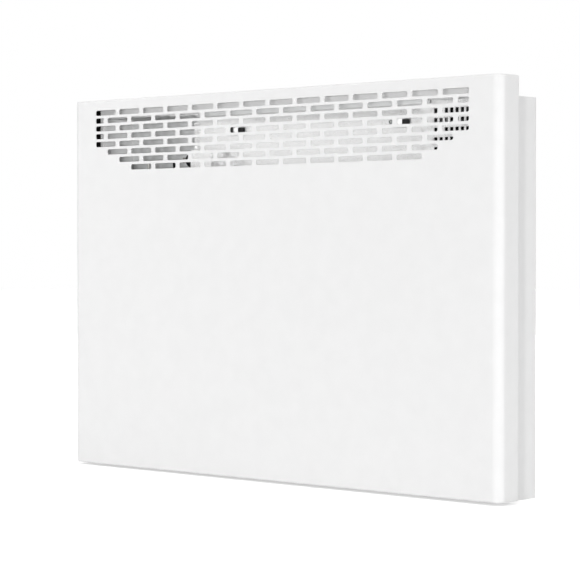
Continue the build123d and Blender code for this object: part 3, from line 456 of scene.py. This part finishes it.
# ---------------------------------------------------------------- pilot lamp
# Neon lamp pushed through the casing's top: collar and body of black nylon, and a domed lens of
# clear red plastic. Both are turned from a profile of radius and height.
LAMP_X, LAMP_Y, LAMP_STEPS = 203.0, 17.0, 48
COLLAR_PROFILE = [
    (0, 396), (3.3, 396), (3.5, 396.2), (3.5, 411), (6.1, 411), (6.1, 411.5), (5.95, 411.85),
    (5.6, 412), (4.6, 412), (4.6, 411.4), (0, 411.4)]
LENS_R, LENS_FOOT, LENS_SHOULDER, LENS_RISE = 4.5, 411.45, 412.6, 1.8
collar = new_piece("lamp_collar", *turned(
    [(LAMP_X, LAMP_Y, 0)], COLLAR_PROFILE, axis=2, way=1, steps=LAMP_STEPS))
collar.data.materials.append(nylon)
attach(collar, "chassis")
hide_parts("pilot_lamp")
lens = new_piece("lamp_lens", *turned([(LAMP_X, LAMP_Y, 0)], [
    (0, LENS_FOOT), (LENS_R, LENS_FOOT), (LENS_R, LENS_SHOULDER),
    *zip(LENS_R * np.cos(dome), LENS_SHOULDER + LENS_RISE * np.sin(dome))],
    axis=2, way=1, steps=LAMP_STEPS))
# Polycarbonate: clear orange-red, glassy, dark at the rim where more of it is looked through. Waves
# 1.5 mm wide from the mould bend its highlights a little.
lens_red = finish("clear red polycarbonate", "#E8461C", 1.5, 0.003, (0.05, 0.1), (0.9, 1.1))
lens_shader = lens_red.node_tree.nodes["Principled BSDF"]
lens_shader.inputs["Transmission Weight"].default_value = 0.6
lens_shader.inputs["IOR"].default_value = 1.58
lens.data.materials.append(lens_red)
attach(lens, "chassis")

# ---------------------------------------------------------------- cord inlet and terminals
# Bush through the back panel and a clamp above it, both moulded in black nylon. Beside the clamp
# is the brass earth stud with its nut, and higher up a terminal block of glazed ceramic.
dress(nylon, "inlet_bush", "cord_clamp")
dress(glazed, "terminal_block")
# Brass: bare, slightly dulled, the only warm metal in the heater. Its rolling lines are drawn
# 0.4 mm wide, coarser than the real ones.
brass = finish("stamped brass", "#CDAA62", 0.4, 0.004, (0.25, 0.38), (0.92, 1.0), 1.0, ALONG_TAB)
dress(brass, "earth_stud", "earth_nut")

# ---------------------------------------------------------------- inner wiring
# Stranded leads, 2.6 mm outside: from the element by way of the cut-out and the switch, from the
# element to the thermostat, and two from the terminal block up to the controls.
LEAD_R = 1.3
SUPPLY_LEADS, SUPPLY_LOW, SUPPLY_HIGH = [(224, 12, 0), (238, 12, 0)], 266.7, 381.0
# Varnished glass-fibre sleeving: off-white with a weave 0.5 mm apart, for the hot end.
sleeving = finish("varnished glass-fibre sleeving", "#DAD9D4", 0.5, 0.05, (0.45, 0.6),
                  (0.94, 1.03))
LEADS = {
    "wire_element_cutout": (sleeving, [
        (-226, 2, 88), (-240, 2, 88), (-250, 2, 88), (-250, 2, 98), (-250, 4, 130),
        (-250, 11, 330), (-250, 13, 347), (-250, 13, 359), (-238, 13, 359), (-191, 13, 359)]),
    "wire_cutout_switch": (silicone, [
        (-191, 21, 359), (-203, 21, 359), (-215, 21, 359), (-215, 21.5, 352), (-215, 22, 346),
        (-206, 22, 346), (-60, 22, 346), (60, 22, 346), (226, 22, 346), (238, 22, 346),
        (238, 22, 355), (238, 22, 381)]),
    "wire_element_thermostat": (silicone, [
        (226, 2, 88), (246, 2, 88), (258, 2, 88), (264, 8, 100), (270, 17, 124), (270, 17, 138),
        (270, 17, 378)]),
}
# a quadratic spline led by the route's points, so each bend is as wide as its legs allow
for wire_name, (jacket, route) in LEADS.items():
    line = bpy.data.curves.new(wire_name + "_lead", "CURVE")
    line.dimensions = "3D"
    line.bevel_depth = LEAD_R * MM
    line.bevel_resolution = 3
    line.use_fill_caps = True
    spline = line.splines.new("NURBS")
    spline.points.add(len(route) - 1)
    spline.points.foreach_set(
        "co", np.column_stack([np.array(route) * MM, np.ones(len(route))]).ravel())
    spline.order_u = 3
    spline.use_endpoint_u = True
    spline.resolution_u = 10
    lead = bpy.data.objects.new(wire_name + "_lead", line)
    bpy.context.scene.collection.objects.link(lead)
    line.materials.append(jacket)
    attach(lead, "chassis")
    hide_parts(wire_name)
supply = new_piece("wire_supply_leads", *turned(SUPPLY_LEADS, [
    (0, SUPPLY_LOW), (LEAD_R, SUPPLY_LOW), (LEAD_R, SUPPLY_HIGH), (0, SUPPLY_HIGH)],
    axis=2, way=1, steps=16))
supply.data.materials.append(silicone)
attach(supply, "chassis")
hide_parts("wire_supply")

# ---------------------------------------------------------------- front cover
# One pressed sheet of 1 mm steel, baked white: rolled upright corners, small folds above and
# below, lips turned in behind, and the brick-pattern outlet grille punched through its top third.
COVER_HALF, COVER_LOW, COVER_HIGH = 320.0, 2.5, 430.0
FACE_Y, LIP_Y = -43.0, -11.0
ROLL, FOLD, SHEET = 10.0, 2.0, 1.0
WINDOW_HALF, WINDOW_LOW, WINDOW_HIGH = 302.0, 13.0, 412.0
SLOT_PITCH, SLOT_BRIDGE, SLOT_HEIGHT, SLOT_CORNER = 40.5, 6.0, 6.0, 2.0
ROW_PITCH, ROW_ONE, ROWS, FULL_ROWS, FULL_SLOTS = 9.2, 415.0, 8, 5, 14
PUNCH_ROUND = 0.3             # the rolled edge that the punch leaves on each side
INSIDE_LESS_HOLES, NEAR_MM = 2, 1e-4
ROLL_STEPS, FOLD_STEPS, CORNER_POINTS, PUNCH_STEPS = 14, 6, 6, 3
BACK_COLUMNS = np.arange(-290, 291, 20)
BACK_LEVELS = [60, 120, 180, 240, 300, 345]


def arc(x, y, radius, first, last, steps):
    """Arc seen from above: x + radius cos a, y + radius sin a, and its way out, cos a, sin a."""
    a = np.radians(np.linspace(first, last, steps + 1))
    return np.stack([x + radius * np.cos(a), y + radius * np.sin(a), np.cos(a), np.sin(a)], 1)


def straight(xs, ys, nx, ny):
    """Straight stretch seen from above: its points, all with the same way out nx, ny."""
    return np.stack(np.broadcast_arrays(np.asarray(xs, float), np.asarray(ys, float), nx, ny), 1)


# the outline seen from above, from the left of the face, round the right side and the back
columns = np.concatenate([[ROLL - COVER_HALF, -WINDOW_HALF], BACK_COLUMNS,
                          [WINDOW_HALF, COVER_HALF - ROLL]])
side_ys = np.linspace(FACE_Y + ROLL, LIP_Y - FOLD, 5)[1:-1]
plan = np.concatenate([
    straight(columns[1:-1], FACE_Y, 0, -1),
    arc(COVER_HALF - ROLL, FACE_Y + ROLL, ROLL, -90, 0, ROLL_STEPS),
    straight(COVER_HALF, side_ys, 1, 0),
    arc(COVER_HALF - FOLD, LIP_Y - FOLD, FOLD, 0, 90, FOLD_STEPS),
    straight(columns[::-1], LIP_Y, 0, 1),
    arc(FOLD - COVER_HALF, LIP_Y - FOLD, FOLD, 90, 180, FOLD_STEPS),
    straight(-COVER_HALF, side_ys[::-1], -1, 0),
    arc(ROLL - COVER_HALF, FACE_Y + ROLL, ROLL, 180, 270, ROLL_STEPS),
])
around = len(plan)
face_end = len(columns) - 2
back_start = face_end + (ROLL_STEPS + 1) + len(side_ys) + (FOLD_STEPS + 1)

# the rings up the height: a fold below, the upright walls, and a fold above
levels = np.array([COVER_LOW + FOLD, WINDOW_LOW, *BACK_LEVELS, WINDOW_HIGH, COVER_HIGH - FOLD])
fold_turn = np.radians(np.linspace(0, 90, FOLD_STEPS + 1))
low_row, top_row = FOLD_STEPS, FOLD_STEPS + len(levels) - 1
rows = top_row + FOLD_STEPS + 1
ring_z = np.concatenate([np.full(FOLD_STEPS, levels[0]), levels, np.full(FOLD_STEPS, levels[-1])])
ring_turn = np.concatenate([-fold_turn[:0:-1], np.zeros(len(levels)), fold_turn[1:]])


def cover_skin(inset):
    """Rings of the outline up the height, for the outer skin or one that is inset into the sheet.

    With r = FOLD - inset, a ring is moved along its way out by r cos turn - FOLD and up by
    r sin turn, so the first and last rings curl in along the fold's arc.
    """
    radius = FOLD - inset
    reach = (radius * np.cos(ring_turn) - FOLD)[:, None]
    height = np.broadcast_to((ring_z + radius * np.sin(ring_turn))[:, None], (rows, around))
    return np.stack([plan[:, 0] + plan[:, 2] * reach, plan[:, 1] + plan[:, 3] * reach, height], -1)


skins = np.stack([cover_skin(0.0), cover_skin(SHEET)])
point_no = np.arange(2 * rows * around).reshape(2, rows, around)

# the skins' quads, less the open window in the back and the flat face, which is filled below
quads = ring_faces(2, rows, around).reshape(2, rows - 1, around, 4)
row_of, turn_of = np.meshgrid(np.arange(rows - 1), np.arange(around), indexing="ij")
window_at = back_start + np.flatnonzero(np.abs(columns[::-1]) <= WINDOW_HALF)
in_window = ((row_of > low_row) & (row_of < top_row - 1)
             & (turn_of >= window_at[0]) & (turn_of < window_at[-1]))
in_face = (row_of >= low_row) & (row_of < top_row) & (turn_of < face_end - 1)
kept = quads[:, ~(in_window | in_face)].reshape(-1, 4)

# flat tops and bottoms between the folds: quads between face and back, and the two ends
face_turns = (np.arange(len(columns)) - 1) % around
back_turns = back_start + len(columns) - 1 - np.arange(len(columns))
end_rings = point_no[:, [0, rows - 1]].reshape(4, around)
strips = np.stack([end_rings[:, face_turns[:-1]], end_rings[:, face_turns[1:]],
                   end_rings[:, back_turns[1:]], end_rings[:, back_turns[:-1]]], -1).reshape(-1, 4)
right_end = end_rings[:, face_end:back_start + 1]
left_end = end_rings[:, back_start + len(columns) - 1:around]

# the window's edge joins the two skins: along its foot, up, back along its top, and down
rim_rows = np.concatenate([
    np.full(len(window_at), low_row + 1), np.arange(low_row + 2, top_row - 1),
    np.full(len(window_at), top_row - 1), np.arange(top_row - 2, low_row + 1, -1)])
rim_turns = np.concatenate([
    window_at, np.full(len(levels) - 4, window_at[-1]),
    window_at[::-1], np.full(len(levels) - 4, window_at[0])])
rim = point_no[:, rim_rows, rim_turns]
rim_next = np.roll(rim, -1, axis=1)
rim_faces = np.stack([rim[0], rim_next[0], rim_next[1], rim[1]], -1)


def grille_slots():
    """Middle x, middle z and length of each slot.

    Slot i of a row of n lies at (i - (n - 1) / 2) x pitch. n is FULL_SLOTS, or one less in a
    staggered row, which gets a half slot at both ends; past FULL_ROWS each row has one slot less
    than the row above it.
    """
    full = SLOT_PITCH - SLOT_BRIDGE
    half = (full - SLOT_BRIDGE) / 2
    found = []
    for row in range(ROWS):
        fewer = max(0, row + 1 - FULL_ROWS)
        count = FULL_SLOTS - fewer if fewer else FULL_SLOTS - row % 2
        z = ROW_ONE - row * ROW_PITCH
        found += [((i - (count - 1) / 2) * SLOT_PITCH, z, full) for i in range(count)]
        if row % 2 and not fewer:
            end = (FULL_SLOTS * SLOT_PITCH - SLOT_BRIDGE - half) / 2
            found += [(-end, z, half), (end, z, half)]
    return np.array(found)


# each slot: a rounded rectangle carried through the sheet; where it meets a skin it widens by a
# quarter of a circle, PUNCH_ROUND x (1 - sin) out and PUNCH_ROUND x (1 - cos) deep
slots = grille_slots()
quarter = np.radians(np.linspace(0, 90, PUNCH_STEPS + 1))
grow = PUNCH_ROUND * np.concatenate([1 - np.sin(quarter), 1 - np.cos(quarter)])
depth = np.concatenate([PUNCH_ROUND * (1 - np.cos(quarter)),
                        SHEET - PUNCH_ROUND * (1 - np.sin(quarter))])
corner_side = np.repeat(np.array([(1, 1), (-1, 1), (-1, -1), (1, -1)]), CORNER_POINTS, axis=0)
corner_turn = np.radians(np.add.outer(90 * np.arange(4), np.linspace(0, 90, CORNER_POINTS))).ravel()
slot_reach = (SLOT_CORNER + grow)[None, :, None]
slot_x = slots[:, 0, None] + corner_side[:, 0] * (slots[:, 2, None] / 2 - SLOT_CORNER)
slot_z = slots[:, 1, None] + corner_side[:, 1] * (SLOT_HEIGHT / 2 - SLOT_CORNER)
slot_points = np.stack(np.broadcast_arrays(
    slot_x[:, None] + slot_reach * np.cos(corner_turn), FACE_Y + depth[None, :, None],
    slot_z[:, None] + slot_reach * np.sin(corner_turn)), -1)
slot_no = point_no.size + np.arange(slot_points[..., 0].size).reshape(slot_points.shape[:3])
slot_faces = ring_faces(*slot_no.shape, point_no.size)

# the flat face between its border and the slots, triangulated on both skins
cover_points = np.concatenate([skins.reshape(-1, 3), slot_points.reshape(-1, 3)])
face_fills = []
for side, slot_ring in ((0, 0), (1, -1)):
    up = point_no[side, low_row:top_row + 1]
    border = np.concatenate([up[0, :face_end], up[1:, face_end - 1],
                             up[-1, :face_end - 1][::-1], up[1:-1, 0][::-1]])
    loops = [border, *slot_no[:, slot_ring]]
    used = np.concatenate(loops)
    offsets = np.cumsum([0] + [len(loop) for loop in loops[:-1]])
    outlines = [(np.arange(len(loop)) + at).tolist() for loop, at in zip(loops, offsets)]
    cut = delaunay_2d_cdt(list(map(Vector, cover_points[used][:, [0, 2]])), [], outlines,
                          INSIDE_LESS_HOLES, NEAR_MM)
    source = np.array([came_from[0] for came_from in cut[3]])
    face_fills.append(used[source[np.array(cut[2])]])

front_cover = new_piece("front_cover_sheet", cover_points, kept, strips, right_end, left_end,
                        rim_faces, slot_faces, *face_fills)
weighted = front_cover.modifiers.new("flat faces first", "WEIGHTED_NORMAL")
weighted.weight = 100
weighted.keep_sharp = True
front_cover.data.materials.append(enamel)
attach(front_cover, "chassis")
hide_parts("front_cover")

# ---------------------------------------------------------------- painted shade strips
# Black strips on the inner faces of the cover's two upright lips: painted shade, standing in for
# the shadow in which those faces lie behind the ends of the grille.
SHADE_STRIP_IN, SHADE_STRIP_OUT, SHADE_STRIP_BACK, SHADE_STRIP_LOW, SHADE_STRIP_HIGH, SHADE_STRIP_THICK = 306.6, 318.6, -12.05, 14.0, 420.0, 1.6
# the strip's edge rounds up over 0.9 mm: distance from the edge, and share of the thickness
SHADE_STRIP_EDGE = np.array([(0, 0), (0.1, 0.6), (0.4, 0.9), (0.9, 1)])
shade_strip_x = np.concatenate([SHADE_STRIP_IN + SHADE_STRIP_EDGE[:, 0], SHADE_STRIP_OUT - SHADE_STRIP_EDGE[::-1, 0]])
shade_strip_y = SHADE_STRIP_BACK - SHADE_STRIP_THICK * np.concatenate([SHADE_STRIP_EDGE[:, 1], SHADE_STRIP_EDGE[::-1, 1]])
shade_strip_z = np.array([SHADE_STRIP_LOW, SHADE_STRIP_HIGH])[:, None]
shade_strip_points = np.stack([
    np.stack(np.broadcast_arrays(side * shade_strip_x, shade_strip_y, shade_strip_z), -1) for side in (-1, 1)])
shade_strip_no = np.arange(shade_strip_points[..., 0].size).reshape(-1, len(shade_strip_x))
shade_strips = new_piece("lip_painted_shade", shade_strip_points, ring_faces(2, 2, len(shade_strip_x)), shade_strip_no)
# Painted shade: black, without shine, so that it swallows the light. Its grain is a little over a
# millimetre wide.
painted_shade_black = finish("black painted lip shade", "#0C0C0D", 1.2, 0.12, (0.95, 1.0), (0.7, 1.3))
shade_strips.data.materials.append(painted_shade_black)
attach(shade_strips, "chassis")

# ---------------------------------------------------------------- screws
# Pan-head screws with a cross recess, zinc plated: the cover's go through the casing's flanges,
# and the housing, duct sides and panel are held from behind.
HEAD_POINTS, COVER_HEAD_R, PANEL_HEAD_R = 24, 3.3, 3.0
FLANGE_Y, SIDE_X, SIDE_ZS, TOP_Z, TOP_XS = -10.0, 306.0, (60, 205, 350), 416.0, (-230, 0, 230)
PANEL_Y, DUCT_X, DUCT_ZS = 35.0, 184.0, (60, 190, 320)
HOUSING_XS, HOUSING_ZS = (205, 288), (262, 372)
# width and rise of each ring as shares of the head's radius: five round ones, three of the cross
HEAD_RINGS = np.array([(1.0, 0.0), (1.0, 0.22), (0.94, 0.42), (0.78, 0.56), (0.6, 0.62),
                       (0.44, 0.63), (0.40, 0.25), (0.0, 0.2)])
ARM = np.array([(1, 0), (1, 0.24), (0.6, 0.24), (0.24, 0.24), (0.24, 0.6), (0.24, 1)])
head_turn = np.linspace(0, 2 * np.pi, HEAD_POINTS, endpoint=False)
disc = np.column_stack([np.cos(head_turn), np.sin(head_turn)])
cross = np.concatenate([ARM @ np.linalg.matrix_power([[0, 1], [-1, 0]], k) for k in range(4)])


def pan_heads(name, seats, radius):
    """Heads on their seats: rings rise over a low dome, then sink into a cross-shaped hole.

    A ring is disc or cross x its width, and lies behind the seat by its rise.
    """
    flat = radius * HEAD_RINGS[:, :1, None] * np.stack([disc] * 5 + [cross] * 3)
    rise = radius * HEAD_RINGS[:, 1:]
    local = np.stack(np.broadcast_arrays(flat[..., 0], rise, flat[..., 1]), -1)
    grid = np.array(seats, float)[:, None, None] + local
    grid_no = np.arange(grid[..., 0].size).reshape(grid.shape[:3])
    heads = new_piece(name, grid, ring_faces(*grid_no.shape), grid_no[:, 0])
    heads.data.materials.append(zinc_plate)
    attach(heads, "chassis")


pan_heads("cover_screws", [(side * SIDE_X, FLANGE_Y, z) for side in (-1, 1) for z in SIDE_ZS]
          + [(x, FLANGE_Y, TOP_Z) for x in TOP_XS], COVER_HEAD_R)
pan_heads("panel_screws", [(side * DUCT_X, PANEL_Y, z) for side in (-1, 1) for z in DUCT_ZS]
          + [(x, PANEL_Y, z) for x in HOUSING_XS for z in HOUSING_ZS], PANEL_HEAD_R)

# ---------------------------------------------------------------- floor and light
# White seamless paper under the heater and white all round it. Two small lamps left of the camera
# and one behind it light through the grille and draw the streak; soft ones fill the rest.
PAPER_HALF = 9000.0
NEAR_M, FAR_M, NEAR_GLOW, FAR_GLOW, ROOM_GLOW = 0.5, 2.2, 0.5, 0.82, 0.12


def seen_ray(tree):
    """1 for camera, glossy and transmission rays, else 0: the greatest of the three."""
    rays = add_node(tree, "ShaderNodeLightPath").outputs
    either = add_node(tree, "ShaderNodeMath", {0: rays["Is Camera Ray"], 1: rays["Is Glossy Ray"]},
                      operation="MAXIMUM")
    return add_node(tree, "ShaderNodeMath",
                    {0: either.outputs[0], 1: rays["Is Transmission Ray"]},
                    operation="MAXIMUM").outputs[0]


# Seamless paper: matt white with faint fibre clouds 3 mm wide. Where it is looked at it glows, more
# with the distance from the heater, so it runs out into white and keeps the heater's shadow.
paper = finish("white seamless paper", "#EDEDED", 3.0, 0.02, (0.85, 0.95), (0.995, 1.005))
paper_tree = paper.node_tree
distance = add_node(paper_tree, "ShaderNodeVectorMath",
                    {0: paper_tree.nodes["Texture Coordinate"].outputs["Object"]},
                    operation="LENGTH")
lift = add_node(paper_tree, "ShaderNodeMapRange", {"Value": distance.outputs["Value"]},
                From_Min=NEAR_M, From_Max=FAR_M, To_Min=NEAR_GLOW, To_Max=FAR_GLOW)
glow = add_node(paper_tree, "ShaderNodeMath", {0: seen_ray(paper_tree), 1: lift.outputs["Result"]},
                operation="MULTIPLY")
paper_shader = paper_tree.nodes["Principled BSDF"]
paper_tree.links.new(glow.outputs[0], paper_shader.inputs["Emission Strength"])
paper_shader.inputs["Emission Color"].default_value = linear("#FFFFFF")
floor = new_piece("floor", PAPER_HALF * np.array([(-1, -1, 0), (1, -1, 0), (1, 1, 0), (-1, 1, 0)]),
                  [[0, 1, 2, 3]])
floor.data.materials.append(paper)

world = bpy.data.worlds.new("white studio")
bpy.context.scene.world = world
world.use_nodes = True
room = add_node(world.node_tree, "ShaderNodeMapRange", {"Value": seen_ray(world.node_tree)},
                To_Min=ROOM_GLOW, To_Max=1.0)
backdrop = world.node_tree.nodes["Background"]
world.node_tree.links.new(room.outputs["Result"], backdrop.inputs["Strength"])
backdrop.inputs["Color"].default_value = linear("#FFFFFF")


def add_lamp(name, place, aim, size, watts, mirrored=True):
    """Round soft lamp at place, turned to aim, both in metres; mirrored tells if metal shows it."""
    data = bpy.data.lights.new(name, "AREA")
    data.shape, data.size, data.energy = "DISK", size, watts
    made = bpy.data.objects.new(name, data)
    made.location = place
    made.rotation_euler = (Vector(aim) - Vector(place)).to_track_quat("-Z", "Y").to_euler()
    made.visible_glossy = mirrored
    bpy.context.scene.collection.objects.link(made)


add_lamp("streak_lamp", (1.4, -2.0, 0.22), (0, 0, 0.22), 0.13, 4.6)
add_lamp("key_lamp", (1.4, -2.1, 0.22), (0, 0, 0.25), 0.12, 7.5, False)
add_lamp("camera_lamp", (3.72, -4.05, 0.13), (0, 0, 0.25), 0.25, 105.0, False)
add_lamp("right_softbox", (4.6, -0.6, 0.8), (0, 0, 0.25), 1.7, 38.0)
add_lamp("left_softbox", (-2.5, -2.1, 0.25), (0, 0, 0.3), 1.8, 6.2)
add_lamp("upper_left_softbox", (-1.1, -1.0, 0.95), (-0.3, 0, 0.3), 0.7, 6.2, False)
add_lamp("top_softbox", (0.3, 0, 3.2), (0.3, 0, 0), 2.0, 44.0, False)
add_lamp("rear_softbox", (-2.6, 2.8, 1.2), (0, 0, 0.25), 1.8, 68.0, False)

# ---------------------------------------------------------------- camera
# The heater is looked at from its right front through a long lens, from a little above its middle.
# Place, turn and lens were solved from the edges of the cover and the pitch of the grille.
FOCAL_PX, IMAGE_PX, SENSOR_MM = 2210.26, 580, 36.0
CAMERA_PLACE, DOWN_DEGREES, ROUND_DEGREES = (1.67463, -1.77730, 0.25763), 1.1084, 43.4108
FAR_CLIP_M = 60.0
camera_data = bpy.data.cameras.new("camera")
camera_data.sensor_fit = "HORIZONTAL"
camera_data.sensor_width = SENSOR_MM
camera_data.lens = FOCAL_PX / IMAGE_PX * SENSOR_MM
camera_data.clip_end = FAR_CLIP_M
camera = bpy.data.objects.new("camera", camera_data)
camera.location = CAMERA_PLACE
camera.rotation_euler = (math.radians(90 - DOWN_DEGREES), 0.0, math.radians(ROUND_DEGREES))
bpy.context.scene.collection.objects.link(camera)
bpy.context.scene.camera = camera
bpy.context.scene.view_settings.view_transform = "Standard"
